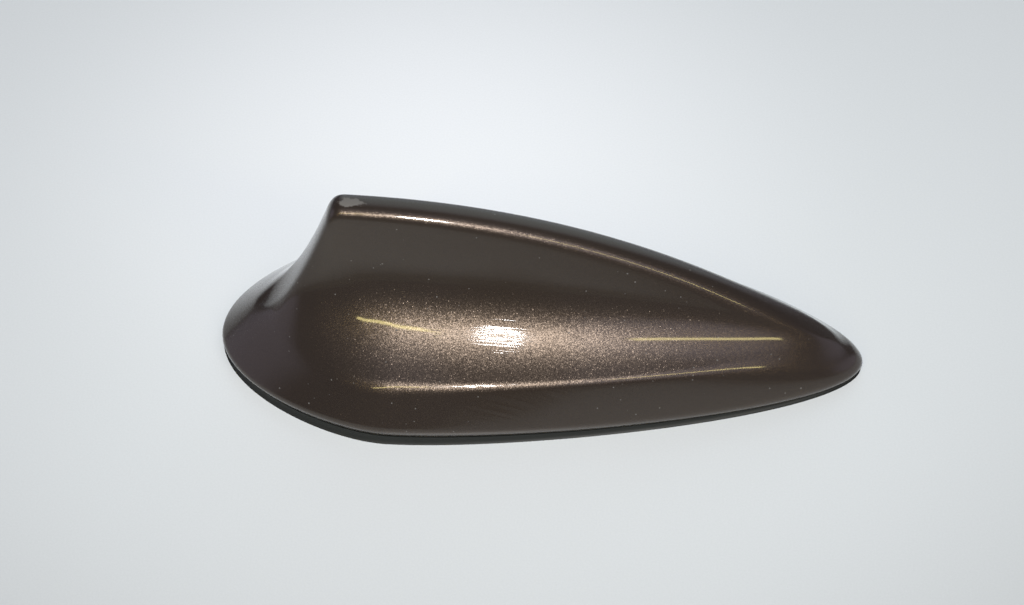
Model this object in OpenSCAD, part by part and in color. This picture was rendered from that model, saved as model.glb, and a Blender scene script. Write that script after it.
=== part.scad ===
// Shark-fin cover of a car's roof antenna: one hollow moulded shell, open below.
// +X is the pointed nose, +Z is up, and the lip of the shell rests on z = 0.
// Lengths are millimetres. A rib is a curve from the ridge down to the rim, and the
// shell is a row of ribs, each found from its place along the outline.

/* [Overall] */
// Length over the painted edge, nose to tail
length = 160; // [150:1:172]
// Widest width over the painted edge
width = 65.1; // [58:0.1:72]
// Height of the fin's tip above the resting plane
height = 50.9; // [46:0.1:56]

/* [Outline seen from above] */
// Distance from mid-length back to the widest place
widest_back = 35.5; // [28:0.5:42]
// Reach of the front curve ahead of the widest place
front_reach = 34.3; // [30:0.1:40]
// Reach of the rear curve behind the widest place
rear_reach = 15.6; // [12:0.1:19]
// Radius of the outline at the nose
nose_r = 4.6; // [3.6:0.1:6]
// Radius of the outline at the tail
tail_r = 16.2; // [12:0.1:19]

/* [Fin seen from the side] */
// Distance from mid-length back to the tip
tip_back = 50.4; // [46:0.1:54]
// Distance of the ridge's front end behind the crease at the nose
ridge_start_back = 4.4; // [3:0.1:6]
// Height of the ridge's front end over the crease at the nose
ridge_start_up = 4; // [3:0.1:5]
// Fullness of the front half of the leading edge
lead_fullness = 0.76; // [0.6:0.02:0.84]
// Fullness of the upper half of the leading edge
crown_fullness = 1.01; // [0.96:0.01:1.04]
// Drop of the trailing edge's upper handle below the tip
trail_drop = 13.5; // [10:0.5:17]
// Lean of the trailing edge's upper handle, backwards
trail_lean = 4.6; // [3:0.1:6]
// Length of the saddle ahead of the fin's foot at the tail
saddle_run = 7.9; // [6:0.1:10]
// Rise of that saddle above the fin's foot
saddle_rise = 4; // [3:0.1:6]
// Distance of the fin's foot ahead of the crease at the tail
foot_ahead = 1.4; // [1:0.1:2.4]
// Height of the fin's foot over the crease at the tail
foot_up = 0.9; // [0.5:0.1:1.6]

/* [Fin thickness] */
// Thickness of the ridge near the nose
ridge_nose = 4.9; // [3.6:0.1:7]
// Thickness of the ridge at the middle
ridge_middle = 6.7; // [5.8:0.1:8]
// Thickness of the ridge at the tip
ridge_tip = 7.1; // [6:0.1:8.2]
// Thickness of the trailing edge near the tail
ridge_tail = 7.7; // [6:0.1:10]
// Run of the ridge's rounded edge down the fin's wall: nose, middle, tip, tail
ridge_round = [7.4, 3.6, 2.5, 2]; // [1.5:0.1:8.5]

/* [Shoulder and crease] */
// Height of the crease at the nose
crease_nose = 7.7; // [7:0.1:9]
// Height of the crease at the middle
crease_middle = 15.3; // [13:0.1:17]
// Height of the crease beside the tip
crease_tip = 15; // [13:0.1:17]
// Height of the crease at the tail
crease_tail = 12.5; // [11:0.1:14]
// Distance of the crease inside the outline at the nose
inset_nose = 4.5; // [4:0.1:6]
// Distance of the crease inside the outline at the widest place
inset_side = 5.1; // [4.6:0.1:6]
// Distance of the crease inside the outline at the tail
inset_tail = 8.5; // [7.5:0.1:10]
// Reach of the crease's front curve ahead of the widest place
crease_front_reach = 48; // [42:0.5:52]
// Reach of the crease's rear curve behind the widest place
crease_rear_reach = 14; // [10:0.5:16]
// Radius of the crease, seen from above, at the nose
crease_nose_r = 2.5; // [2:0.1:3.6]
// Radius of the crease, seen from above, at the tail
crease_tail_r = 6.3; // [5:0.1:9]
// Run of the crease's rounded edge to each side: nose, middle, tip, tail
crease_round = [6.1, 1.5, 2.6, 2]; // [1.2:0.1:7]
// Bulge of the skirt out of the straight line below the crease: nose, middle, tip, tail
skirt_bulge = [0.4, 0.1, 0, 0]; // [0:0.1:0.8]
// Shares of the way out to the crease at which wall and shoulder would meet: nose, middle, tip, tail
foot_out = [0.38, 0.33, 0.2, 0.5]; // [0.15:0.01:0.6]
// Shares of the way up to the ridge at which they would meet: nose, middle, tip, tail
foot_high = [0.69, 0.26, 0.3, 0.6]; // [0.15:0.01:0.8]
// Share of the fin's wall, from its foot up, that the hollow blend takes
blend_up = 0.5; // [0.3:0.02:0.6]

/* [Painted edge and lip] */
// Height of the painted edge's underside over the resting plane at the nose
edge_nose = 0.4; // [0.3:0.1:0.8]
// Height of the painted edge at the middle
edge_middle = 2; // [1.6:0.1:3]
// Height of the painted edge beside the tip
edge_tip = 3.1; // [2.4:0.1:4]
// Height of the painted edge at the tail
edge_tail = 1.4; // [1:0.1:2]
// Rounding of the painted edge
edge_round = 1; // [0.6:0.1:1.4]
// Step from the painted edge in to the bare lip
lip_step = 0.5; // [0.3:0.1:0.8]

/* [Wall and inside] */
// Wall thickness
wall = 2.1; // [1.8:0.1:2.4]
// Thickness of a stiffening rib in the fin
rib_t = 1.2; // [1:0.1:1.6]
// Height of the ribs' lower edge at mid-width
rib_low = 20; // [17:0.5:23]
// Places of the ribs, ahead of mid-length
rib_at = [-36, -12, 12, 36]; // [-40:1:40]
// Places of the side hooks, ahead of mid-length
hook_at = [-50, -14, 22]; // [-52:1:30]
// Width of a hook
hook_w = 9; // [6:0.5:12]
// Thickness of a hook's stem
hook_t = 1.7; // [1.4:0.1:2.2]
// Distance of a hook's outer face inside the outline
hook_in = 5; // [4.4:0.1:5.6]
// Height of a hook's lower end over the resting plane
hook_low = 1.2; // [0.8:0.1:2]
// Reach of a hook's barb
barb = 1.5; // [1:0.1:2]
// Height of a hook's barb
barb_h = 3; // [2.4:0.1:4]
// Thickness of the web behind a hook
web_t = 1.2; // [1:0.1:1.6]
// Width of the locating tongue at the nose
tongue_w = 6; // [4:0.5:7]
// Thickness of that tongue
tongue_t = 1.6; // [1.2:0.1:2]
// Reach of that tongue behind the outline's nose
tongue_l = 14; // [11:0.5:17]

/* [Hidden] */

// Place of the tip along the outline, which runs from 0 at the nose to 1 at the tail
tip_s = 0.68;
// Place where the outline's front curve meets its rear curve
widest_s = 0.6;
// Stretch of the ridge that the tip's rounding takes, ahead of and behind the tip
tip_ahead = 0.02;
tip_behind = 0.03;
// Wider stretch that the foot of the fin takes to turn beside the tip
foot_turn = 0.22;
// Stretch at each end in which the ridge's thickness runs out
taper_s = 0.12;
// Hidden thickness of the hollow at the nose
core_nose = 0.6;

half_l = length / 2;
half_w = width / 2;
wide_x = -widest_back;

function mix(a, b, t) = a + (b - a) * t;
function unit(v) = v / norm(v);
function curve(p, t) = mix(mix(mix(p[0], p[1], t), mix(p[1], p[2], t), t),
                           mix(mix(p[1], p[2], t), mix(p[2], p[3], t), t), t);
function slope(p, t) = mix(mix(p[1] - p[0], p[2] - p[1], t), mix(p[2] - p[1], p[3] - p[2], t), t);
function bend(a, v, b, t) = mix(mix(a, v, t), mix(v, b, t), t);

// Plan curve from the nose to the tail along the +Y side, as a front and a rear curve.
// Its sizes are the insets at nose, side and tail, the two end radii and the two reaches
function arm(r, d) = sqrt(r * d / 1.5);
function plan(inset, r, reach) = let (
    nose = half_l - inset[0],
    side = half_w - inset[1],
    tail = half_l - inset[2],
    f = wide_x + reach[0],
    b = wide_x - reach[1]
) [[[nose, 0], [nose, arm(r[0], nose - f)], [f, side], [wide_x, side]],
   [[wide_x, side], [b, side], [-tail, arm(r[1], b + tail)], [-tail, 0]]];
function plan_at(c, s) = s < widest_s ? curve(c[0], s / widest_s)
                                      : curve(c[1], (s - widest_s) / (1 - widest_s));
OUTLINE = plan([0, 0, 0], [nose_r, tail_r], [front_reach, rear_reach]);
function outline(s) = plan_at(OUTLINE, s);
function outward(s) = let (
    v = s < widest_s ? slope(OUTLINE[0], s / widest_s) : slope(OUTLINE[1], (s - widest_s) / (1 - widest_s)),
    d = unit(v)
) [d.y, -d.x];
function crease_plan(w) = plan([inset_nose, inset_side, inset_tail] + 0.75 * w * [1, 1, 1],
    [crease_nose_r, crease_tail_r] - 0.3 * w * [1, 1], [crease_front_reach, crease_rear_reach]);

// A size along the outline, given at the nose, the middle, the tip and the tail
function along(s, v) = let (
    u = s < tip_s ? 2 * s / tip_s : 2 + (s - tip_s) / (1 - tip_s),
    i = min(floor(u), 2),
    t = u - i,
    m1 = i == 0 ? 0 : (v[i + 1] - v[i - 1]) / 2,
    m2 = i == 2 ? 0 : (v[i + 2] - v[i]) / 2
) curve([v[i], v[i] + m1 / 3, v[i + 1] - m2 / 3, v[i + 1]], t);

// Ridge in the middle plane as [x, z], and w is how deep inside the surface it lies
function nose_end(w) = [half_l - inset_nose - ridge_start_back - 0.4 * w,
                        crease_nose + ridge_start_up - 0.9 * w];
function tip(w) = [-tip_back + 0.8 * w, height - 1.05 * w];
function tail_end(w) = [-half_l + inset_tail + foot_ahead + 0.6 * w,
                        crease_tail + foot_up - 0.95 * w];
function lead(s, w) = let (
    g = min(1, (half_l - outline(s).x) / (half_l - outline(tip_s).x)),
    a = nose_end(w),
    b = tip(w),
    rise = b.y - a.y
) [mix(a.x, b.x, g), curve([a.y, a.y + rise * lead_fullness, a.y + rise * crown_fullness, b.y], g)];
function trail(s, w) = let (a = tip(w), b = tail_end(w)) curve(
    [a, a - [trail_lean, trail_drop], b + [saddle_run, saddle_rise], b], (s - tip_s) / (1 - tip_s));
function ridge(s, w, ahead = tip_ahead, behind = tip_behind) =
    s < tip_s - ahead ? lead(s, w)
    : s > tip_s + behind ? trail(s, w)
    : bend(lead(tip_s - ahead, w), tip(w), trail(tip_s + behind, w),
           (s - tip_s + ahead) / (ahead + behind));

// Half the ridge's thickness, running out to nothing at both ends
function taper(s) = let (e = 1 - min(1, min(s, 1 - s) / taper_s)) 1 - e * e;
function half_ridge(s, w) = taper(s) * along(s, [
    w > 0 ? core_nose : ridge_nose / 2,
    ridge_middle / 2 - 1.05 * w,
    ridge_tip / 2 - 1.05 * w,
    ridge_tail / 2 - 1.05 * w]);

// The points that steer a rib: ridge, ridge edge, foot of the fin, crease
function from_rim(s, inset, z) = let (p = outline(s) - inset * outward(s)) [p.x, p.y, z];
function top_at(s, w) = let (r = ridge(s, w)) [r.x, 0, r.y];
function edge_at(s, w) = let (r = ridge(s, w)) [r.x, half_ridge(s, w), r.y];
function crease_at(s, w) = let (p = plan_at(crease_plan(w), s))
    [p.x, p.y, along(s, [crease_nose, crease_middle, crease_tip, crease_tail]) - 0.7 * w];
function foot_at(s, w) = let (
    r = ridge(s, w, foot_turn, foot_turn),
    d = crease_at(s, w),
    out = along(s, foot_out)
) [mix(r.x, d.x, out), mix(half_ridge(s, w), d.y, out), mix(d.z, r.y, along(s, foot_high))];
function painted_z(s) = along(s, [edge_nose, edge_middle, edge_tip, edge_tail]);

// A point so far from one end towards the other, but not past the given share
function towards(a, b, d, share) = let (l = norm(b - a)) mix(a, b, min(d, share * l) / max(l, 0.001));

// The point that steers the skirt's bulge between the crease d and the edge e
function skirt_at(s, d, e) = let (
    o = outward(s),
    run = [e.x - d.x, e.y - d.y] * o
) (d + e) / 2 + 2 * along(s, skirt_bulge) * unit([o.x * (d.z - e.z), o.y * (d.z - e.z), run]);

// Outer rib from the ridge to the foot of the lip
function outer_rib(s) = let (
    a = top_at(s, 0),
    b = edge_at(s, 0),
    c = foot_at(s, 0),
    d = crease_at(s, 0),
    z = painted_z(s),
    e = from_rim(s, 0, z + edge_round),
    f = from_rim(s, 0, z + edge_round * 0.5),
    g = from_rim(s, lip_step + edge_round * 0.4, z),
    b2 = towards(b, c, along(s, ridge_round), 0.5),
    c1 = mix(c, b, blend_up),
    v = skirt_at(s, d, e),
    c2 = towards(d, c, along(s, crease_round), 0.45),
    d2 = towards(d, v, along(s, crease_round), 0.45),
    e1 = towards(e, v, edge_round, 0.3)
) concat(
    [for (i = [0:4]) bend(a, b, b2, i / 4)],
    [for (i = [0:8]) bend(c1, c, c2, i / 8)],
    [for (i = [1:4]) bend(c2, d, d2, i / 4)],
    [for (i = [1:3]) bend(d2, v, e1, i / 3)],
    [bend(e1, e, f, 0.5)],
    [for (i = [0:3]) bend(f, from_rim(s, 0, z), g, i / 3)],
    [from_rim(s, lip_step, z - 0.3), from_rim(s, lip_step, 0)]);

// Inner rib from the foot of the lip up to the underside of the ridge
function inner_rib(s) = let (
    a = top_at(s, wall),
    b = edge_at(s, wall),
    c = foot_at(s, wall),
    d = crease_at(s, wall),
    e = from_rim(s, 1.1 * wall, 0),
    b2 = towards(b, c, along(s, ridge_round), 0.5),
    c1 = mix(c, b, blend_up),
    v = skirt_at(s, d, e),
    c2 = towards(d, c, along(s, crease_round), 0.45),
    d2 = towards(d, v, along(s, crease_round), 0.45)
) concat(
    [e, bend(d2, v, e, 0.5)],
    [for (i = [2:-1:0]) bend(c2, d, d2, i / 2)],
    [for (i = [5:-1:0]) bend(c1, c, c2, i / 6)],
    [for (i = [2:-1:0]) bend(a, b, b2, i / 2)]);

// Places of the ribs, closer together at the nose, the tip and the tail
function steps(a, b, n) = [for (i = [0:n - 1]) mix(a, b, i / n)];
PLACES = concat(
    [for (i = [0:5]) taper_s * pow(i / 6, 1.8)],
    steps(taper_s, widest_s, 16),
    steps(widest_s, tip_s - tip_ahead, 2),
    steps(tip_s - tip_ahead, tip_s + tip_behind, 5),
    steps(tip_s + tip_behind, 1 - taper_s, 10),
    [for (i = [6:-1:0]) 1 - taper_s * pow(i / 6, 1.8)]);

module shell() {
    ribs = [for (s = PLACES) concat(outer_rib(s), inner_rib(s))];
    n = len(ribs);
    m = len(ribs[0]);
    // The two ends and both ridge lines lie in the middle plane and are shared
    shared = function (i, k) i == 0 || i == n - 1 || k == 0 || k == m - 1;
    right = [for (r = ribs) for (p = r) p];
    left = [for (r = ribs) for (p = r) [p.x, -p.y, p.z]];
    at = function (side, i, k) (side == 1 && !shared(i, k) ? n * m : 0) + i * m + k;
    // Each cell is cut so that no triangle at either end lies flat in the middle plane
    cell = function (side, i, k) let (
        p = at(side, i, k),
        q = at(side, i + 1, k),
        r = at(side, i + 1, k + 1),
        t = at(side, i, k + 1)
    ) (i < n / 2) == (k > m / 2) ? [[p, q, t], [q, r, t]] : [[p, q, r], [p, r, t]];
    polyhedron(concat(right, left), [
        for (side = [0, 1])
            for (i = [0:n - 2])
                for (k = [0:m - 2])
                    for (f = cell(side, i, k))
                        if (f[0] != f[1] && f[1] != f[2] && f[2] != f[0])
                            side == 0 ? f : [f[0], f[2], f[1]]
    ]);
}

// Place along the outline at which a steering point lies at x, found by halving
function place_of(x, at, lo = 0, hi = 1, n = 16) = let (s = (lo + hi) / 2)
    n == 0 ? s : at(s).x > x ? place_of(x, at, s, hi, n - 1) : place_of(x, at, lo, s, n - 1);

// Section of the shell's middle surface across the fin, from the ridge down the wall
function fin_section(x) = [
    for (j = [0:6])
        let (
            at = function (s) let (c = foot_at(s, wall / 2), b = edge_at(s, wall / 2))
                j == 0 ? b : bend(mix(c, b, blend_up), c, crease_at(s, wall / 2), (j - 1) / 6),
            p = at(place_of(x, at))
        ) [p.y, p.z]
];

// Thin plate across the fin's hollow, with an arched lower edge
module fin_rib(x) {
    section = [for (p = fin_section(x)) if (p.y > rib_low - 3) p];
    last = section[len(section) - 1];
    lower = [for (i = [-3:3]) [last.x * i / 4, rib_low - 3 * pow(i / 4, 2)]];
    translate([x - rib_t / 2, 0, 0])
        rotate([90, 0, 90])
            linear_extrude(rib_t)
                polygon(concat(section, [for (i = [6:-1:0]) lower[i]],
                    [for (i = [len(section) - 1:-1:0]) [-section[i].x, section[i].y]]));
}

// Snap hook hanging from the skirt at a place along the outline, with its web
module hook(s, side) {
    p = outline(s);
    d = outward(s);
    inner = crease_at(s, wall);
    rim_in = 1.1 * wall;
    crease_in = norm([inner.x, inner.y] - p);
    back = hook_in + hook_t;
    // Height of the skirt's inside at a distance inside the outline
    rise = function (d) inner.z * min(1, (d - rim_in) / (crease_in - rim_in));
    root = rise(hook_in);
    catch_z = hook_low + barb_h;
    stem = [[hook_in, hook_low], [back, hook_low],
            [back + barb, catch_z - 0.8], [back + barb, catch_z], [back, catch_z],
            [back, rise(back) + 0.4 * wall], [hook_in, root + 0.4 * wall]];
    web = [[rim_in * 0.75, 0.45 * root], [hook_in + 0.4, 0.45 * root],
           [hook_in + 0.4, root], [hook_in - 0.3, root]];
    mirror([0, side, 0])
        translate([p.x, p.y, 0])
            rotate(atan2(d.y, d.x) + 180)
                rotate([90, 0, 0]) {
                    translate([0, 0, -hook_w / 2])
                        linear_extrude(hook_w)
                            polygon(stem);
                    translate([0, 0, -web_t / 2])
                        linear_extrude(web_t)
                            polygon(web);
                }
}

// Tongue that slips under the base's front edge, with a web up the nose
module tongue() {
    end_x = half_l - tongue_l;
    root_x = half_l - 0.85 * wall;
    low = hook_low + 0.6;
    half = tongue_w / 2;
    wide_to = half_l - 2.2 * wall;
    web_z = low + tongue_t - 0.3;
    web_top = crease_nose * 0.6;
    translate([0, 0, low])
        linear_extrude(tongue_t)
            polygon([[end_x, -half], [wide_to, -half], [root_x, -half / 3],
                     [root_x, half / 3], [wide_to, half], [end_x, half]]);
    translate([0, web_t / 2, 0])
        rotate([90, 0, 0])
            linear_extrude(web_t)
                polygon([[end_x + 3, web_z], [root_x - 0.6, web_z],
                         [half_l - inset_nose * 0.7, web_top], [half_l - inset_nose - wall, web_top]]);
}

module cover() {
    color([0.19, 0.165, 0.155])
        union() {
            for (x = rib_at)
                fin_rib(x);
            for (side = [0, 1])
                for (x = hook_at)
                    hook(place_of(x, function (s) outline(s)), side);
            hook(1, 0);
            tongue();
            shell();
        }
}

cover();
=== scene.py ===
import math
import bpy
from mathutils import Matrix, Vector


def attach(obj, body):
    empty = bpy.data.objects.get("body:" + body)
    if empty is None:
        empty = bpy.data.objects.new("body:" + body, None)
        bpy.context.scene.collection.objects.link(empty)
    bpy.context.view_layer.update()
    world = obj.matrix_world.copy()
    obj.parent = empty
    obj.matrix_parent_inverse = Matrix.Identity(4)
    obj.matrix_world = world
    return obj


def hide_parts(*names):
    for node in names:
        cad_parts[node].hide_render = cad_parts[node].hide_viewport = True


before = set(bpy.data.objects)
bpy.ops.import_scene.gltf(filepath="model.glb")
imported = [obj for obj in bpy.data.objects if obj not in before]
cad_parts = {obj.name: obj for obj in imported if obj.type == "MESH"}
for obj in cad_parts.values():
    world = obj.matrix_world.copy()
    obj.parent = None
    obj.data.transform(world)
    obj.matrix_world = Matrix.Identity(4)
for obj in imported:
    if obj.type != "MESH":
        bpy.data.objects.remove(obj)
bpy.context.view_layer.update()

MM = 0.001


# The camera, as found from the outline in the photograph. Its place is given as a
# direction and a distance from the point it looks at

CAMERA_AIM, CAMERA_DISTANCE = Vector((-7.75, 6.93, 10.0)), 690.3


def set_camera():
    azimuth, elevation, roll = math.radians(3.82), math.radians(48.04), math.radians(-0.03)
    back = Vector((math.sin(azimuth) * math.cos(elevation),
                   -math.cos(azimuth) * math.cos(elevation), math.sin(elevation)))
    level = Vector((math.cos(azimuth), math.sin(azimuth), 0))
    upright = back.cross(level)
    right = math.cos(roll) * level + math.sin(roll) * upright
    up = -math.sin(roll) * level + math.cos(roll) * upright
    data = bpy.data.cameras.new("camera")
    data.sensor_width = 36
    data.lens = 97.12
    data.clip_start = 0.01
    camera = bpy.data.objects.new("camera", data)
    place = Matrix((right, up, back)).transposed().to_4x4()
    place.translation = (CAMERA_AIM + back * CAMERA_DISTANCE) * MM
    camera.matrix_world = place
    bpy.context.scene.collection.objects.link(camera)
    bpy.context.scene.camera = camera
    return camera, right, up


CAMERA, RIGHT, UP = set_camera()
bpy.context.scene.view_settings.view_transform = "Standard"


# Sizes of the cover in millimetres. Four values in brackets are at the nose, the middle,
# the tip and the tail. As far as the wall they are the same as in the part's source

# The outline, seen from above
LENGTH, WIDTH, HEIGHT = 160.0, 65.1, 50.9
HALF_L, HALF_W = LENGTH / 2, WIDTH / 2
WIDEST_BACK, FRONT_REACH, REAR_REACH = 35.5, 34.3, 15.6
NOSE_R, TAIL_R = 4.6, 16.2
# The ridge, the tip and the trailing edge, seen from the side
TIP_BACK, RIDGE_START_BACK, RIDGE_START_UP = 50.4, 4.4, 4.0
LEAD_FULLNESS, CROWN_FULLNESS = 0.76, 1.01
TRAIL_DROP, TRAIL_LEAN = 13.5, 4.6
SADDLE_RUN, SADDLE_RISE, FOOT_AHEAD, FOOT_UP = 7.9, 4.0, 1.4, 0.9
# The ridge's thickness and the run of its rounded edge
RIDGE_NOSE, RIDGE_MIDDLE, RIDGE_TIP, RIDGE_TAIL = 4.9, 6.7, 7.1, 7.7
RIDGE_ROUND = (7.4, 3.6, 2.5, 2.0)
# The crease, inset at the nose, the side and the tail, and the skirt below it
CREASE_HEIGHTS = (7.7, 15.3, 15.0, 12.5)
CREASE_INSETS = (4.5, 5.1, 8.5)
CREASE_FRONT_REACH, CREASE_REAR_REACH = 48.0, 14.0
CREASE_NOSE_R, CREASE_TAIL_R = 2.5, 6.3
CREASE_ROUND = (6.1, 1.5, 2.6, 2.0)
SKIRT_BULGE = (0.4, 0.1, 0.0, 0.0)
# The hollow blend between the fin's wall and the shoulder
FOOT_OUT = (0.38, 0.33, 0.2, 0.5)
FOOT_HIGH = (0.69, 0.26, 0.3, 0.6)
BLEND_UP = 0.5
EDGE_HEIGHTS = (0.4, 2.0, 3.1, 1.4)
WALL, CORE_NOSE = 2.1, 0.6

# The painted edge draws in and rolls under sooner than in the source, as its bright band
# shows. It is widest up and out from the source's border, and its own lies further in
EDGE_UP, EDGE_OUT, EDGE_IN, EDGE_LOW = 2.0, 0.35, 0.55, 0.92
EDGE_RUN, EDGE_ROLL = 1.3, 0.4
# A dark groove parts it from the lip, whose foot spreads out a little
GROOVE, GROOVE_IN, LIP_IN, LIP_FOOT = 0.35, 1.3, 0.95, 0.1
LIP_BEND_IN, LIP_BEND_UP = 0.8, 0.2

# Places along the outline: the tip and its rounding, the widest place, how far the foot of
# the fin turns ahead of and behind the tip, and the taper at both ends
TIP_S, TIP_AHEAD, TIP_BEHIND = 0.68, 0.02, 0.03
WIDEST_S, FOOT_TURN, TAPER_S = 0.6, 0.22, 0.12

# How the lines that steer the inside draw in and come down, in shares of the wall
CREASE_THIN_IN, CREASE_THIN_DOWN, CREASE_THIN_R = 0.75, 0.7, 0.3
START_THIN_IN, START_THIN_DOWN = 0.4, 0.9
TIP_THIN_IN, TIP_THIN_DOWN = 0.8, 1.05
TAIL_THIN_IN, TAIL_THIN_DOWN = 0.6, 0.95
RIDGE_THIN = 1.05
RIM_IN = 1.1 * WALL

# A rounding takes no more than these shares of the way to the next point
RIDGE_SHARE, CREASE_SHARE, EDGE_SHARE = 0.5, 0.45, 0.5
ROLL_UP_SHARE, ROLL_IN_SHARE = 0.3, 0.7

# Steps down a rib: ridge, wall, blend, crease and skirt, then painted edge, roll and lip
PAINTED_STEPS, BARE_STEPS = (12, 8, 24, 8, 8), (4, 3, 8, 4, 4)
EDGE_STEPS, ROLL_STEPS, LIP_STEPS, LOWER_FACE_STEPS = 8, 6, 5, 2

# Ribs along the outline, gathered towards both ends: each end, the front to the widest
# place, from there to the tip, the tip and the rear
END_RIBS, FRONT_RIBS, SIDE_RIBS, TIP_RIBS, REAR_RIBS = 14, 62, 8, 14, 40
GATHER = 1.8


# The form. A place s runs along the outline from 0 at the nose to 1 at the tail, and w is
# how deep inside the outer surface a line lies

def mix(a, b, t):
    return a + (b - a) * t


def curve(p, t):
    q = [mix(a, b, t) for a, b in zip(p, p[1:])]
    return mix(mix(q[0], q[1], t), mix(q[1], q[2], t), t)


def slope(p, t):
    d = [b - a for a, b in zip(p, p[1:])]
    return mix(mix(d[0], d[1], t), mix(d[1], d[2], t), t)


def bend(a, v, b, t):
    return mix(mix(a, v, t), mix(v, b, t), t)


def handle(radius, run):
    """How far the second point of a curve stands off, for this radius at its end."""
    return math.sqrt(radius * run / 1.5)


def plan(insets, radii, reaches):
    """Front and rear curve of a line round the cover, seen from above."""
    nose, side, tail = HALF_L - insets[0], HALF_W - insets[1], HALF_L - insets[2]
    wide = -WIDEST_BACK
    ahead, behind = wide + reaches[0], wide - reaches[1]
    front = (nose, 0), (nose, handle(radii[0], nose - ahead)), (ahead, side), (wide, side)
    rear = (wide, side), (behind, side), (-tail, handle(radii[1], behind + tail)), (-tail, 0)
    return [Vector(v) for v in front], [Vector(v) for v in rear]


def plan_at(curves, s, of=curve):
    if s < WIDEST_S:
        return of(curves[0], s / WIDEST_S)
    return of(curves[1], (s - WIDEST_S) / (1 - WIDEST_S))


OUTLINE = plan((0, 0, 0), (NOSE_R, TAIL_R), (FRONT_REACH, REAR_REACH))


def crease_plan(w):
    tighter = CREASE_THIN_R * w
    return plan([inset + CREASE_THIN_IN * w for inset in CREASE_INSETS],
                (CREASE_NOSE_R - tighter, CREASE_TAIL_R - tighter),
                (CREASE_FRONT_REACH, CREASE_REAR_REACH))


CREASE = {w: crease_plan(w) for w in (0, WALL / 2, WALL)}


def outward(s):
    d = plan_at(OUTLINE, s, slope).normalized()
    return Vector((d.y, -d.x))


def along(s, v):
    """A size along the outline, given at the nose, the middle, the tip and the tail."""
    u = 2 * s / TIP_S if s < TIP_S else 2 + (s - TIP_S) / (1 - TIP_S)
    i = min(int(u), 2)
    m1 = 0 if i == 0 else (v[i + 1] - v[i - 1]) / 2
    m2 = 0 if i == 2 else (v[i + 2] - v[i]) / 2
    return curve([v[i], v[i] + m1 / 3, v[i + 1] - m2 / 3, v[i + 1]], u - i)


def tip(w):
    return Vector((-TIP_BACK + TIP_THIN_IN * w, HEIGHT - TIP_THIN_DOWN * w))


def lead(s, w):
    """The ridge from the nose to the tip, as x and z in the middle plane."""
    g = min(1, (HALF_L - plan_at(OUTLINE, s).x) / (HALF_L - plan_at(OUTLINE, TIP_S).x))
    a = Vector((HALF_L - CREASE_INSETS[0] - RIDGE_START_BACK - START_THIN_IN * w,
                CREASE_HEIGHTS[0] + RIDGE_START_UP - START_THIN_DOWN * w))
    b = tip(w)
    rise = b.y - a.y
    heights = [a.y, a.y + rise * LEAD_FULLNESS, a.y + rise * CROWN_FULLNESS, b.y]
    return Vector((mix(a.x, b.x, g), curve(heights, g)))


def trail(s, w):
    """The trailing edge from the tip down to the tail."""
    a = tip(w)
    b = Vector((-HALF_L + CREASE_INSETS[2] + FOOT_AHEAD + TAIL_THIN_IN * w,
                CREASE_HEIGHTS[3] + FOOT_UP - TAIL_THIN_DOWN * w))
    handles = [a, a - Vector((TRAIL_LEAN, TRAIL_DROP)), b + Vector((SADDLE_RUN, SADDLE_RISE)), b]
    return curve(handles, (s - TIP_S) / (1 - TIP_S))


def ridge(s, w, ahead=TIP_AHEAD, behind=TIP_BEHIND):
    if s < TIP_S - ahead:
        return lead(s, w)
    if s > TIP_S + behind:
        return trail(s, w)
    return bend(lead(TIP_S - ahead, w), tip(w), trail(TIP_S + behind, w),
                (s - TIP_S + ahead) / (ahead + behind))


def half_ridge(s, w):
    """Half the ridge's thickness, which runs out at the nose and the tail."""
    e = 1 - min(1, min(s, 1 - s) / TAPER_S)
    taper = 1 - e * e
    nose = CORE_NOSE if w > 0 else RIDGE_NOSE / 2
    rest = [r / 2 - RIDGE_THIN * w for r in (RIDGE_MIDDLE, RIDGE_TIP, RIDGE_TAIL)]
    return taper * along(s, [nose] + rest)


def from_rim(s, inset, z):
    p = plan_at(OUTLINE, s) - inset * outward(s)
    return Vector((p.x, p.y, z))


def top_at(s, w):
    r = ridge(s, w)
    return Vector((r.x, 0, r.y))


def edge_at(s, w):
    r = ridge(s, w)
    return Vector((r.x, half_ridge(s, w), r.y))


def crease_at(s, w):
    p = plan_at(CREASE[w], s)
    return Vector((p.x, p.y, along(s, CREASE_HEIGHTS) - CREASE_THIN_DOWN * w))


def foot_at(s, w):
    """Where the fin's wall and the shoulder would meet without their blend."""
    r = ridge(s, w, FOOT_TURN, FOOT_TURN)
    crease = crease_at(s, w)
    out = along(s, FOOT_OUT)
    return Vector((mix(r.x, crease.x, out), mix(half_ridge(s, w), crease.y, out),
                   mix(crease.z, r.y, along(s, FOOT_HIGH))))


def towards(a, b, d, share):
    """The point d on the way from a to b, but no further than a share of the way."""
    far = (b - a).length
    return mix(a, b, min(d, share * far) / max(far, 0.001))


def skirt_at(s, crease, rim):
    """The point that steers the skirt's bulge between the crease and the rim."""
    o = outward(s)
    run = (rim.x - crease.x) * o.x + (rim.y - crease.y) * o.y
    out = Vector((o.x * (crease.z - rim.z), o.y * (crease.z - rim.z), run)).normalized()
    return mix(crease, rim, 0.5) + 2 * along(s, SKIRT_BULGE) * out


def corner(a, v, b, n, first=0):
    return [bend(a, v, b, i / n) for i in range(first, n + 1)]


def even(a, b, n):
    """Points from a towards b in n equal steps, without b."""
    return [mix(a, b, i / n) for i in range(n)]


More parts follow.
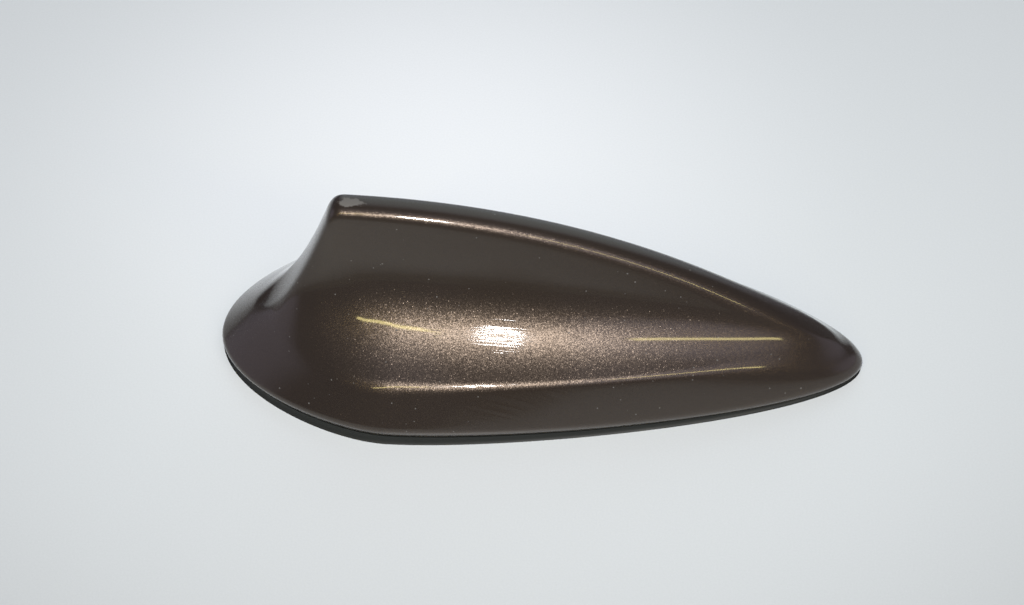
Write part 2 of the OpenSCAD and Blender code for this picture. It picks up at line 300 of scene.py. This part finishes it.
def skin(s, w, rim, steps):
    """The skin from the ridge to just below the crease at a place and a depth. The two
    points that steer it on down to the rim come with it."""
    top, edge, foot, crease = top_at(s, w), edge_at(s, w), foot_at(s, w), crease_at(s, w)
    rounded = towards(edge, foot, along(s, RIDGE_ROUND), RIDGE_SHARE)
    blend = mix(foot, edge, BLEND_UP)
    bulge, run = skirt_at(s, crease, rim), along(s, CREASE_ROUND)
    above = towards(crease, foot, run, CREASE_SHARE)
    below = towards(crease, bulge, run, CREASE_SHARE)
    points = (corner(top, edge, rounded, steps[0]) + even(rounded, blend, steps[1])[1:]
              + corner(blend, foot, above, steps[2]) + corner(above, crease, below, steps[3], 1))
    return points, below, bulge


def painted_rib(s):
    """The painted outside at a place, from the ridge to the underside of the painted edge."""
    z = along(s, EDGE_HEIGHTS)
    edge, under = from_rim(s, -EDGE_OUT, z + EDGE_UP), from_rim(s, EDGE_IN, z * EDGE_LOW)
    groove = from_rim(s, GROOVE_IN, z * EDGE_LOW)
    points, below, bulge = skin(s, 0, edge, PAINTED_STEPS)
    turn = towards(edge, bulge, EDGE_RUN, EDGE_SHARE), towards(edge, under, EDGE_RUN, EDGE_SHARE)
    roll = (towards(under, edge, EDGE_ROLL, ROLL_UP_SHARE),
            towards(under, groove, EDGE_ROLL, ROLL_IN_SHARE))
    return (points + corner(below, bulge, turn[0], PAINTED_STEPS[4], 1)
            + corner(turn[0], edge, turn[1], EDGE_STEPS, 1)
            + corner(roll[0], under, roll[1], ROLL_STEPS) + [groove])


def bare_rib(s):
    """The bare plastic at a place: the lip, its lower face and the inside up to the ridge."""
    z = along(s, EDGE_HEIGHTS)
    groove, high = (from_rim(s, inset, z * (1 - GROOVE)) for inset in (GROOVE_IN, LIP_IN))
    low, rim = from_rim(s, LIP_FOOT, 0), from_rim(s, RIM_IN, 0)
    lip = corner(high, from_rim(s, LIP_IN * LIP_BEND_IN, z * LIP_BEND_UP), low, LIP_STEPS)
    points, below, bulge = skin(s, WALL, rim, BARE_STEPS)
    inner = points + corner(below, bulge, rim, BARE_STEPS[4], 1)
    return [groove] + lip + even(low, rim, LOWER_FACE_STEPS)[1:] + inner[::-1]


# Making the pieces

# Points closer together than this, in metres, are one
SAME_PLACE = 0.000001
# Edges that turn by less than this, in degrees, are shaded smooth
SMOOTH_BELOW = 35


def alone(obj):
    bpy.ops.object.select_all(action="DESELECT")
    obj.select_set(True)
    bpy.context.view_layer.objects.active = obj


def apply_modifier(obj, name, kind, **settings):
    modifier = obj.modifiers.new(name, kind)
    for key, value in settings.items():
        setattr(modifier, key, value)
    alone(obj)
    bpy.ops.object.modifier_apply(modifier=name)


def finish_piece(obj, name):
    obj.name = obj.data.name = name
    alone(obj)
    bpy.ops.object.transform_apply(location=True, rotation=True, scale=True)
    bpy.ops.object.shade_smooth_by_angle(angle=math.radians(SMOOTH_BELOW))
    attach(obj, "root")
    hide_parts("cover")
    return obj


def places():
    """Places of the ribs along the outline, closer together at the nose, tip and tail."""
    end = [TAPER_S * (i / END_RIBS) ** GATHER for i in range(END_RIBS + 1)]
    return (end[:-1] + even(TAPER_S, WIDEST_S, FRONT_RIBS)
            + even(WIDEST_S, TIP_S - TIP_AHEAD, SIDE_RIBS)
            + even(TIP_S - TIP_AHEAD, TIP_S + TIP_BEHIND, TIP_RIBS)
            + even(TIP_S + TIP_BEHIND, 1 - TAPER_S, REAR_RIBS) + [1 - e for e in end[::-1]])


def make_shell(paint, plastic):
    """One side of the shell is a grid laid on the ribs. Its mirror image is the other side."""
    ribs = [painted_rib(s) + bare_rib(s) for s in places()]
    painted_to = len(painted_rib(0)) - 1
    n, m = len(ribs) - 1, len(ribs[0]) - 1
    bpy.ops.object.select_all(action="DESELECT")
    bpy.ops.mesh.primitive_grid_add(x_subdivisions=n, y_subdivisions=m, size=2)
    shell = bpy.context.object
    # The grid spans -1 to 1, so a point's place in it gives its rib and its step down the rib
    steps = {v.index: (round((v.co.x + 1) / 2 * n), round((v.co.y + 1) / 2 * m))
             for v in shell.data.vertices}
    for index, (i, k) in steps.items():
        p = ribs[i][k] * MM
        if i in (0, n) or k in (0, m):
            p.y = 0
        shell.data.vertices[index].co = p
    shell.data.materials.append(paint)
    shell.data.materials.append(plastic)
    for face in shell.data.polygons:
        inside = min(steps[v][1] for v in face.vertices) >= painted_to
        face.material_index = 1 if inside else 0
    apply_modifier(shell, "other side", "MIRROR", use_axis=(False, True, False),
                   use_mirror_merge=True, merge_threshold=SAME_PLACE)
    tidy_normals(shell)
    return finish_piece(shell, "cover_shell")


def tidy_normals(obj):
    alone(obj)
    bpy.ops.object.mode_set(mode="EDIT")
    bpy.ops.mesh.select_all(action="SELECT")
    bpy.ops.mesh.remove_doubles(threshold=SAME_PLACE)
    bpy.ops.mesh.normals_make_consistent(inside=False)
    bpy.ops.object.mode_set(mode="OBJECT")


def prism(profile, thickness, bevel):
    """A flat outline of points in millimetres, pushed out along Z to both sides and bevelled."""
    bpy.ops.object.select_all(action="DESELECT")
    bpy.ops.mesh.primitive_circle_add(vertices=len(profile), fill_type="NGON")
    obj = bpy.context.object
    for v, p in zip(obj.data.vertices, profile):
        v.co = Vector((p[0], p[1], -thickness / 2)) * MM
    bpy.ops.object.mode_set(mode="EDIT")
    bpy.ops.mesh.select_all(action="SELECT")
    bpy.ops.mesh.extrude_region_move(TRANSFORM_OT_translate={"value": (0, 0, thickness * MM)})
    bpy.ops.mesh.select_all(action="SELECT")
    bpy.ops.mesh.normals_make_consistent(inside=False)
    bpy.ops.object.mode_set(mode="OBJECT")
    apply_modifier(obj, "moulded edges", "BEVEL", width=bevel * MM, segments=2,
                   limit_method="ANGLE", angle_limit=math.radians(40))
    return obj


def join(objects):
    alone(objects[0])
    for obj in objects:
        obj.select_set(True)
    bpy.ops.object.join()
    return bpy.context.object


# The moulded fittings inside, the same as in the part's source but with their edges rounded

RIB_T, RIB_LOW, RIB_ARCH, RIB_AT = 1.2, 20.0, 3, (-36, -12, 12, 36)
WALL_STEPS, ARCH_STEPS = 12, 8
HOOK_AT, HOOK_W, HOOK_T, HOOK_IN, HOOK_LOW = (-50, -14, 22), 9.0, 1.7, 5.0, 1.2
BARB, BARB_H, BARB_LAND, WEB_T = 1.5, 3.0, 0.8, 1.2
TONGUE_W, TONGUE_T, TONGUE_L, TONGUE_UP = 6.0, 1.6, 14.0, 0.6
STOUT_EDGE, THIN_EDGE = 0.15, 0.1
# Hooks reach this far into the wall that they hang from
ROOT_DEPTH = 0.4 * WALL
# A hook's web, in shares of the rim's inset and of the root's height, and past the hook
WEB_OUT, WEB_LOW, WEB_PAST, WEB_TOP_SHORT = 0.75, 0.45, 0.4, 0.3
# How far back from the nose the tongue's root and its full width lie, and the root's width
# as a share of the full one
TONGUE_ROOT, TONGUE_WIDE, TONGUE_TAPER = 0.85 * WALL, 2.2 * WALL, 1 / 3
# Its web stands back at both ends, sits in the tongue and reaches up the nose by this much
TONGUE_WEB_BACK, TONGUE_WEB_END, TONGUE_WEB_IN = 3, 0.6, 0.3
TONGUE_WEB_UP, TONGUE_WEB_NOSE = 0.6, 0.7

ON_SIDE = Matrix.Rotation(math.radians(90), 4, "X")


def place_of(x, at):
    """The place along the outline at which a line lies at x, found by halving."""
    low, high = 0.0, 1.0
    for _ in range(24):
        middle = (low + high) / 2
        if at(middle).x > x:
            low = middle
        else:
            high = middle
    return middle


def in_wall(s, j):
    """The middle of the wall at a place: the ridge's edge, then step j down to the crease."""
    w = WALL / 2
    edge, foot = edge_at(s, w), foot_at(s, w)
    if j == 0:
        return edge
    return bend(mix(foot, edge, BLEND_UP), foot, crease_at(s, w), (j - 1) / WALL_STEPS)


def fin_section(x):
    """The middle of the wall across the fin at x, as y and z from the ridge down."""
    points = [in_wall(place_of(x, lambda s: in_wall(s, j)), j) for j in range(WALL_STEPS + 1)]
    return [(p.y, p.z) for p in points]


def make_fin_ribs(plastic):
    """Thin plates across the fin's hollow, each with an arched lower edge."""
    plates = []
    for x in RIB_AT:
        section = [p for p in fin_section(x) if p[1] > RIB_LOW - RIB_ARCH]
        half = section[-1][0]
        lower = [(half * i / ARCH_STEPS, RIB_LOW - RIB_ARCH * (i / ARCH_STEPS) ** 2)
                 for i in range(ARCH_STEPS - 1, -ARCH_STEPS, -1)]
        plate = prism(section + lower + [(-y, z) for y, z in section[::-1]], RIB_T, THIN_EDGE)
        # Stands the plate across the cover at x
        plate.data.transform(Matrix(((0, 0, 1, x * MM), (1, 0, 0, 0), (0, 1, 0, 0), (0, 0, 0, 1))))
        plates.append(plate)
    ribs = join(plates)
    ribs.data.materials.append(plastic)
    return finish_piece(ribs, "fin_ribs")


def make_hook(s, side):
    """A snap hook hanging from the skirt at a place, with its web."""
    p, d, inner = plan_at(OUTLINE, s), outward(s), crease_at(s, WALL)
    crease_in = (Vector((inner.x, inner.y)) - p).length

    def inside_at(depth):
        """Height of the skirt's inside at a depth inside the outline."""
        return inner.z * min(1, (depth - RIM_IN) / (crease_in - RIM_IN))

    back, catch = HOOK_IN + HOOK_T, HOOK_LOW + BARB_H
    root = inside_at(HOOK_IN)
    web_low, web_end = WEB_LOW * root, HOOK_IN + WEB_PAST
    stem = prism([(HOOK_IN, HOOK_LOW), (back, HOOK_LOW), (back + BARB, catch - BARB_LAND),
                  (back + BARB, catch), (back, catch), (back, inside_at(back) + ROOT_DEPTH),
                  (HOOK_IN, root + ROOT_DEPTH)], HOOK_W, STOUT_EDGE)
    web = prism([(RIM_IN * WEB_OUT, web_low), (web_end, web_low),
                 (web_end, root), (HOOK_IN - WEB_TOP_SHORT, root)], WEB_T, THIN_EDGE)
    turn = Matrix.Rotation(math.atan2(d.y, d.x) + math.pi, 4, "Z")
    put = Matrix.Translation((p.x * MM, p.y * MM, 0)) @ turn @ ON_SIDE
    if side:
        put = Matrix.Scale(-1, 4, (0, 1, 0)) @ put
    for obj in (stem, web):
        obj.data.transform(put)
        tidy_normals(obj)
    return [stem, web]


def make_snap_hooks(plastic):
    """One hook at the tail and three on each side."""
    made = make_hook(1.0, 0)
    for x in HOOK_AT:
        for side in (0, 1):
            made += make_hook(place_of(x, lambda s: plan_at(OUTLINE, s)), side)
    hooks = join(made)
    hooks.data.materials.append(plastic)
    return finish_piece(hooks, "snap_hooks")


def make_tongue(plastic):
    """The tongue that slips under the front edge of the base, with a web up the nose."""
    end_x, root_x, wide_to = HALF_L - TONGUE_L, HALF_L - TONGUE_ROOT, HALF_L - TONGUE_WIDE
    low, half = HOOK_LOW + TONGUE_UP, TONGUE_W / 2
    narrow = half * TONGUE_TAPER
    web_z, web_top = low + TONGUE_T - TONGUE_WEB_IN, CREASE_HEIGHTS[0] * TONGUE_WEB_UP
    blade = prism([(end_x, -half), (wide_to, -half), (root_x, -narrow),
                   (root_x, narrow), (wide_to, half), (end_x, half)], TONGUE_T, STOUT_EDGE)
    blade.data.transform(Matrix.Translation((0, 0, (low + TONGUE_T / 2) * MM)))
    web = prism([(end_x + TONGUE_WEB_BACK, web_z), (root_x - TONGUE_WEB_END, web_z),
                 (HALF_L - CREASE_INSETS[0] * TONGUE_WEB_NOSE, web_top),
                 (HALF_L - CREASE_INSETS[0] - WALL, web_top)], WEB_T, THIN_EDGE)
    web.data.transform(ON_SIDE)
    tongue = join([blade, web])
    tongue.data.materials.append(plastic)
    return finish_piece(tongue, "locating_tongue")


# Colours and materials

# Middles, in metres, of the rubbed shoulder, the worn tip and the painted pool of light on the
# table
RUBBED_AT, WORN_AT = (-0.008, -0.018, 0.022), (-0.0456, -0.0003, 0.0508)
PAINTED_LIGHT_POOL_AT = (-0.034, 0.073, 0)


def colour(hex_code):
    """An sRGB hex code as linear red, green, blue and alpha."""
    shown = [int(hex_code[i:i + 2], 16) / 255 for i in (1, 3, 5)]
    linear = [c / 12.92 if c <= 0.04045 else ((c + 0.055) / 1.055) ** 2.4 for c in shown]
    return (*linear, 1)


def add(tree, kind, inputs=None, **settings):
    """Adds a node. Its inputs are fed by other nodes' outputs or set to a value. A setting is
    the node's own or, where it has none of that name, the value of the input of that name."""
    node = tree.nodes.new(kind)
    for key, value in settings.items():
        if hasattr(node, key):
            setattr(node, key, value)
        else:
            node.inputs[key.replace("_", " ")].default_value = value
    for key, source in (inputs or {}).items():
        if isinstance(source, bpy.types.NodeSocket):
            tree.links.new(source, node.inputs[key])
        else:
            node.inputs[key].default_value = source
    return node


def new_material(name):
    material = bpy.data.materials.new(name)
    material.use_nodes = True
    tree = material.node_tree
    tree.nodes.clear()
    return material, tree


def bronze_brown_lacquer():
    """Dark bronze-brown metallic basecoat under clear lacquer, sprayed on moulded plastic.
    The eye sees a near-black brown that lights up in a grainy beige glow where the flakes
    face the light, sharp reflections in the lacquer above it, and some wear."""
    material, tree = new_material("bronze_brown_metallic_lacquer")
    place = add(tree, "ShaderNodeTexCoord").outputs["Object"]
    normal = add(tree, "ShaderNodeNewGeometry").outputs["Normal"]

    # Flakes are about 0.03 mm. They are drawn 0.15 mm wide, the finest that shows. Most lie
    # almost flat, and a few stand up and sparkle by themselves
    flakes = add(tree, "ShaderNodeTexVoronoi", {"Vector": place}, Scale=1 / (0.15 * MM))
    chance = add(tree, "ShaderNodeTexWhiteNoise", {"Vector": flakes.outputs["Color"]})
    steep = add(tree, "ShaderNodeMath", {0: chance.outputs["Value"], 1: 6.0}, operation="POWER")
    amount = add(tree, "ShaderNodeMapRange", {"Value": steep.outputs[0]}, To_Min=0.16, To_Max=0.45)
    tilt = add(tree, "ShaderNodeVectorMath", {0: flakes.outputs["Color"], 1: (0.5, 0.5, 0.5)},
               operation="SUBTRACT")
    lean = add(tree, "ShaderNodeVectorMath", {0: tilt.outputs[0], "Scale": amount.outputs[0]},
               operation="SCALE")
    turned = add(tree, "ShaderNodeVectorMath", {0: normal, 1: lean.outputs[0]}, operation="ADD")
    facing = add(tree, "ShaderNodeVectorMath", {0: turned.outputs[0]}, operation="NORMALIZE")

    # Fine polishing scratches run lengthwise over the middle of the shoulder. Real ones are
    # finer. They are drawn 0.14 mm apart, the finest that shows
    stretch = add(tree, "ShaderNodeVectorMath", {0: place, 1: (0.008, 1, 0)}, operation="MULTIPLY")
    hairs = add(tree, "ShaderNodeTexNoise", {"Vector": stretch.outputs[0]},
                Scale=1 / (0.14 * MM), Detail=3.0)
    spot = add(tree, "ShaderNodeVectorMath", {0: place, 1: RUBBED_AT},
               operation="DISTANCE")
    rubbed = add(tree, "ShaderNodeMapRange", {"Value": spot.outputs["Value"]},
                 interpolation_type="SMOOTHSTEP", From_Min=0.010, From_Max=0.022,
                 To_Min=1.0, To_Max=0.0)
    hair = add(tree, "ShaderNodeMath", {0: hairs.outputs[0], 1: 0.5}, operation="SUBTRACT")
    depth = add(tree, "ShaderNodeMath", {0: hair.outputs[0], 1: rubbed.outputs[0]},
                operation="MULTIPLY")
    across = add(tree, "ShaderNodeVectorMath", {0: (0, 0.36, 0.36), "Scale": depth.outputs[0]},
                 operation="SCALE")
    scratched = add(tree, "ShaderNodeVectorMath", {0: normal, 1: across.outputs[0]},
                    operation="ADD")
    gloss = add(tree, "ShaderNodeVectorMath", {0: scratched.outputs[0]}, operation="NORMALIZE")

    # The lacquer is worn through to grey on the tip's upper corner, in a ragged patch about
    # 6 mm long
    from_tip = add(tree, "ShaderNodeVectorMath", {0: place, 1: WORN_AT},
                   operation="SUBTRACT")
    in_patch = add(tree, "ShaderNodeVectorMath", {0: from_tip.outputs[0], 1: (330, 700, 300)},
                   operation="MULTIPLY")
    reach = add(tree, "ShaderNodeVectorMath", {0: in_patch.outputs[0]}, operation="LENGTH")
    ragged = add(tree, "ShaderNodeTexNoise", {"Vector": place}, Scale=1 / (1.2 * MM), Detail=3.0)
    edge = add(tree, "ShaderNodeMath", {0: ragged.outputs[0], 1: 1.8, 2: reach.outputs["Value"]},
               operation="MULTIPLY_ADD")
    worn = add(tree, "ShaderNodeMapRange", {"Value": edge.outputs[0]},
               From_Min=1.7, From_Max=2.0, To_Min=1.0, To_Max=0.0)

    # Dust specks, up to 0.4 mm across and about 2 mm apart
    grit = add(tree, "ShaderNodeTexVoronoi", {"Vector": place}, Scale=1 / (1.9 * MM))
    lot = add(tree, "ShaderNodeSeparateColor", {"Color": grit.outputs["Color"]})
    size = add(tree, "ShaderNodeMapRange", {"Value": lot.outputs[0]}, To_Min=-0.05, To_Max=0.11)
    speck = add(tree, "ShaderNodeMath", {0: grit.outputs["Distance"], 1: size.outputs[0]},
                operation="LESS_THAN")
    dull = add(tree, "ShaderNodeMath", {0: worn.outputs[0], 1: speck.outputs[0]},
               operation="MAXIMUM")

    # Where it is worn or dusty the paint is grey, rough and no metal. Where it is rubbed or
    # worn there is less lacquer
    tone = add(tree, "ShaderNodeMix", {"Factor": dull.outputs[0], 6: colour("#403831"),
                                       7: colour("#5c5a57")}, data_type="RGBA")
    metal = add(tree, "ShaderNodeMapRange", {"Value": dull.outputs[0]}, To_Min=0.72, To_Max=0.0)
    rough = add(tree, "ShaderNodeMapRange", {"Value": dull.outputs[0]}, To_Min=0.33, To_Max=0.6)
    rub = add(tree, "ShaderNodeMath", {0: rubbed.outputs[0], 1: 0.95}, operation="MULTIPLY")
    loss = add(tree, "ShaderNodeMath", {0: rub.outputs[0], 1: worn.outputs[0]},
               operation="MAXIMUM")
    coat = add(tree, "ShaderNodeMapRange", {"Value": loss.outputs[0]}, To_Min=1.0, To_Max=0.12)
    shader = add(tree, "ShaderNodeBsdfPrincipled",
                 {"Base Color": tone.outputs[2], "Metallic": metal.outputs[0],
                  "Roughness": rough.outputs[0], "Coat Weight": coat.outputs[0],
                  "Normal": facing.outputs[0], "Coat Normal": gloss.outputs[0]},
                 Specular_IOR_Level=0.0, Coat_Roughness=0.07, Coat_IOR=1.42)
    add(tree, "ShaderNodeOutputMaterial", {"Surface": shader.outputs[0]})
    return material


def bare_moulded_plastic():
    """Bare black ABS as it leaves the mould: a dull, slightly uneven charcoal. Its gloss
    changes over about 6 mm, and the mould leaves a grain of about 0.4 mm."""
    material, tree = new_material("bare_moulded_abs")
    place = add(tree, "ShaderNodeTexCoord").outputs["Object"]
    cloud = add(tree, "ShaderNodeTexNoise", {"Vector": place}, Scale=1 / (6 * MM), Detail=4.0)
    shade = add(tree, "ShaderNodeMapRange", {"Value": cloud.outputs[0]}, To_Min=0.42, To_Max=0.62)
    grain = add(tree, "ShaderNodeTexNoise", {"Vector": place}, Scale=1 / (0.4 * MM), Detail=3.0)
    bump = add(tree, "ShaderNodeBump", {"Height": grain.outputs[0]},
               Strength=0.25, Distance=0.05 * MM)
    shader = add(tree, "ShaderNodeBsdfPrincipled",
                 {"Roughness": shade.outputs[0], "Normal": bump.outputs[0]},
                 Base_Color=colour("#1b1d1b"), IOR=1.45, Specular_IOR_Level=0.35)
    add(tree, "ShaderNodeOutputMaterial", {"Surface": shader.outputs[0]})
    return material


def pale_tabletop():
    """Pale, cool laminate with a slight gloss and a grain of about 0.5 mm, so faint that it reads
    as even. Its colour is paler round one spot behind the cover and darker away from it, a painted
    pool of light."""
    material, tree = new_material("pale_laminate_board")
    place = add(tree, "ShaderNodeTexCoord").outputs["Object"]
    # Painted pool of light: the board's colour goes from the paler tone at one spot to the darker
    # one 0.13 m away
    reach = add(tree, "ShaderNodeVectorMath", {0: place, 1: PAINTED_LIGHT_POOL_AT},
                operation="DISTANCE")
    painted_light_falloff = add(tree, "ShaderNodeMapRange", {"Value": reach.outputs["Value"]},
               interpolation_type="SMOOTHSTEP", From_Min=0.0, From_Max=0.13)
    grain = add(tree, "ShaderNodeTexNoise", {"Vector": place}, Scale=1 / (0.5 * MM), Detail=2.0)
    speckle = add(tree, "ShaderNodeMapRange", {"Value": grain.outputs[0]},
                  From_Min=0.3, From_Max=0.7, To_Min=0.98, To_Max=1.02)
    tone = add(tree, "ShaderNodeMix", {"Factor": painted_light_falloff.outputs[0], 6: colour("#d8dcdf"),
                                       7: colour("#c4c9cb")}, data_type="RGBA")
    shade = add(tree, "ShaderNodeVectorMath", {0: tone.outputs[2], "Scale": speckle.outputs[0]},
                operation="SCALE")
    shader = add(tree, "ShaderNodeBsdfPrincipled", {"Base Color": shade.outputs[0]},
                 Roughness=0.35)
    add(tree, "ShaderNodeOutputMaterial", {"Surface": shader.outputs[0]})
    return material


# Floor and light

# Watts, degrees and millimetres, apart from the floor in metres
FLOOR_SIZE = 6.0
LAMP_POWER, LAMP_CONE, LAMP_RADIUS = 27.5, 71, 34
LAMP_UP, LAMP_LEFT, LAMP_AIM = 50, 10, Vector((-30, 340, 0))
TUBE_POWER, TUBE_WIDTH, TUBE_COLOUR = 1.45, 48, "#ffec9c"
# Each warm tube lamp runs between two places
TUBES = {"left_tube": ((-533, -922, 746), (-97, -794, 1024)),
         "right_tube": ((347, -779, 980), (887, -745, 590))}
# The way to the middle of the light behind
REAR_WAY = (0.15, 0.85, 0.5)
# Soft reflectors overhead and to the right of the lens: the way to each, its spread as a
# cosine, and its strength
REFLECTORS = (((0.06, -0.3, 0.95), 0.86, 0.3), ((0.4, -0.63, 0.67), 0.9, 1.1))


def make_floor(material):
    bpy.ops.object.select_all(action="DESELECT")
    bpy.ops.mesh.primitive_plane_add(size=FLOOR_SIZE, location=(0, 0, 0))
    floor = bpy.context.object
    floor.name = "floor"
    floor.data.materials.append(material)


def add_lamp(name, kind, place, aim, **settings):
    """A lamp at a place in millimetres, turned to what it shines on."""
    data = bpy.data.lights.new(name, kind)
    for key, value in settings.items():
        setattr(data, key, value)
    lamp = bpy.data.objects.new(name, data)
    lamp.location = place * MM
    lamp.rotation_euler = (aim - place).to_track_quat("-Z", "Y").to_euler()
    bpy.context.scene.collection.objects.link(lamp)
    return lamp


def add_tube(name, start, end, aim):
    """A thin warm lamp from start to end that faces aim."""
    middle, run = (start + end) / 2, end - start
    lamp = add_lamp(name, "AREA", middle, aim, energy=TUBE_POWER, shape="RECTANGLE",
                    size=run.length * MM, size_y=TUBE_WIDTH * MM, color=colour(TUBE_COLOUR)[:3])
    length = run.normalized()
    back = -(aim - middle).normalized()
    up = back.cross(length).normalized()
    turn = Matrix((length, up, length.cross(up))).transposed().to_4x4()
    turn.translation = lamp.location
    lamp.matrix_world = turn


def make_room():
    """A plain room as a world: light above and behind, half light at both sides, soft
    reflectors overhead and beside the lens, and dim otherwise. The eye sees a pale wall."""
    world = bpy.data.worlds.new("studio_room")
    world.use_nodes = True
    tree = world.node_tree
    tree.nodes.clear()
    way = add(tree, "ShaderNodeTexCoord").outputs["Generated"]
    back = add(tree, "ShaderNodeVectorMath", {0: way, 1: REAR_WAY},
               operation="DOT_PRODUCT")
    rear = add(tree, "ShaderNodeMapRange", {"Value": back.outputs["Value"]},
               interpolation_type="SMOOTHSTEP", From_Min=0.77, From_Max=0.97,
               To_Min=0.12, To_Max=0.95)
    level = add(tree, "ShaderNodeSeparateXYZ", {"Vector": way})
    aside = add(tree, "ShaderNodeMath", {0: level.outputs["X"]}, operation="ABSOLUTE")
    sides = add(tree, "ShaderNodeMapRange", {"Value": aside.outputs[0]},
                interpolation_type="SMOOTHSTEP", From_Min=0.84, From_Max=0.97,
                To_Min=0.0, To_Max=0.55)
    light = add(tree, "ShaderNodeMath", {0: rear.outputs[0], 1: sides.outputs[0]},
                operation="ADD")
    for way_to, spread, strength in REFLECTORS:
        facing = add(tree, "ShaderNodeVectorMath", {0: way, 1: way_to}, operation="DOT_PRODUCT")
        panel = add(tree, "ShaderNodeMapRange", {"Value": facing.outputs["Value"]},
                    interpolation_type="SMOOTHSTEP", From_Min=spread, From_Max=1.0,
                    To_Min=0.0, To_Max=strength)
        light = add(tree, "ShaderNodeMath", {0: light.outputs[0], 1: panel.outputs[0]},
                    operation="ADD")
    tint = add(tree, "ShaderNodeMix", {"Factor": rear.outputs[0], 6: colour("#ebe3ff"),
                                       7: colour("#e7f9ff")}, data_type="RGBA")
    room = add(tree, "ShaderNodeBackground", {"Color": tint.outputs[2],
                                              "Strength": light.outputs[0]})
    # The lacquer keeps the dim room that it mirrors in the photograph
    wall = add(tree, "ShaderNodeBackground", Color=colour("#e4e9eb"), Strength=1.0)
    seen = add(tree, "ShaderNodeLightPath").outputs["Is Camera Ray"]
    glow = add(tree, "ShaderNodeMixShader", {0: seen, 1: room.outputs[0], 2: wall.outputs[0]})
    add(tree, "ShaderNodeOutputWorld", {"Surface": glow.outputs[0]})
    bpy.context.scene.world = world


def set_light():
    """The room, the main lamp just above the lens and two warm tube lamps in front."""
    make_room()
    eye = CAMERA.matrix_world.translation / MM
    # It is aimed past the cover, so that the table behind it is lit as well
    add_lamp("front_lamp", "SPOT", eye + UP * LAMP_UP - RIGHT * LAMP_LEFT, LAMP_AIM,
             energy=LAMP_POWER, spot_size=math.radians(LAMP_CONE), spot_blend=1.0,
             shadow_soft_size=LAMP_RADIUS * MM)
    for name, (start, end) in TUBES.items():
        add_tube(name, Vector(start), Vector(end), CAMERA_AIM)


paint, plastic = bronze_brown_lacquer(), bare_moulded_plastic()
make_shell(paint, plastic)
make_fin_ribs(plastic)
make_snap_hooks(plastic)
make_tongue(plastic)
make_floor(pale_tabletop())
set_light()
